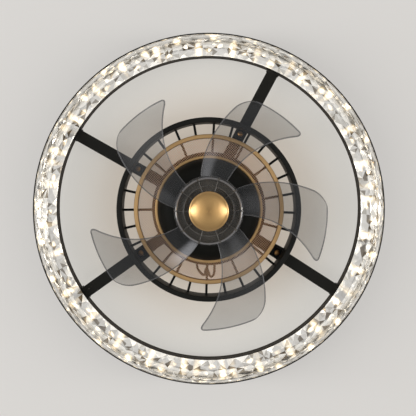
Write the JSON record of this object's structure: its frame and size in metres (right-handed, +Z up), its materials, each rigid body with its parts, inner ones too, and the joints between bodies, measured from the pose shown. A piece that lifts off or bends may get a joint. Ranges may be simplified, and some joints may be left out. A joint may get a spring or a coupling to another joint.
{
  "type": "flush mount ceiling fan",
  "caption": "Flush mount ceiling fan with clear swept blades on a caged motor inside a ring lamp with a faceted crystal cover.",
  "frame": {"origin": "centre of the ceiling bracket's upper face, on the ceiling plane and on the blades' axis of turning", "axes": "+Z up, out of the bracket's upper face into the ceiling; the fan hangs towards -Z; +Y towards the side where the lamp cable's slack lies"},
  "size_m": [0.509, 0.509, 0.1658],
  "materials": {
    "black_metal": "satin black powder coat",
    "zinc_steel": "zinc plated",
    "brushed_brass": "brushed, lacquered",
    "brass_wire": "antique brass wire",
    "smoky_clear_plastic": "clear smoky grey, glossy",
    "clear_crystal": "clear, cut facets",
    "white_paint": "white solder mask",
    "copper_winding": "enamelled copper wire",
    "core_steel": "bare core steel",
    "black_plastic": "fine matte texture",
    "white_plastic": "matte",
    "circuit_board": "solder mask",
    "cable_sheath": "matte sheath"
  },
  "bodies": {
    "fixed_frame": {"arm_1": "black_metal", "arm_2": "black_metal", "arm_3": "black_metal", "arm_4": "black_metal", "arm_screw_1": "zinc_steel", "arm_screw_2": "zinc_steel", "arm_screw_3": "zinc_steel", "arm_screw_4": "zinc_steel", "bearing_lower": "zinc_steel", "bearing_upper": "zinc_steel", "brass_mesh": "brass_wire", "cage_ring": "black_metal", "cage_screw_1": "brushed_brass", "cage_screw_2": "brushed_brass", "cage_screw_3": "brushed_brass", "cage_screw_4": "brushed_brass", "canopy": "black_metal", "canopy_screw_1": "zinc_steel", "canopy_screw_2": "zinc_steel", "ceiling_bracket": "zinc_steel", "crystal_cover": "clear_crystal", "inner_trim_ring": "brushed_brass", "lamp_cable": "cable_sheath", "lamp_channel": "black_metal", "lamp_screw_1": "zinc_steel", "lamp_screw_2": "zinc_steel", "lamp_screw_3": "zinc_steel", "lamp_screw_4": "zinc_steel", "led_board": "white_paint", "led_driver": "white_plastic", "motor_board": "circuit_board", "motor_cover": "black_plastic", "motor_lower_bell": "core_steel", "motor_screw_1": "zinc_steel", "motor_screw_2": "zinc_steel", "motor_upper_bell": "core_steel", "outer_trim_ring": "brushed_brass", "receiver_box": "black_plastic", "spoke_frame": "black_metal", "stator_core": "core_steel", "stiffener_plate": "zinc_steel", "terminal_block": "white_plastic", "winding_lower": "copper_winding", "winding_upper": "copper_winding"},
    "rotor": {"rotor_shaft": "zinc_steel", "rotor_core": "core_steel", "drive_pin": "zinc_steel", "blade_hub": "smoky_clear_plastic", "blade_1": "smoky_clear_plastic", "blade_2": "smoky_clear_plastic", "blade_3": "smoky_clear_plastic", "blade_4": "smoky_clear_plastic", "blade_5": "smoky_clear_plastic", "spinner_cap": "brushed_brass"}
  },
  "joints": [
    {"name": "blade_spin", "type": "hinge", "parent": "fixed_frame", "child": "rotor", "pos_m": [0, 0, -0.124], "axis": [0, 0, 1], "continuous": true}
  ]
}
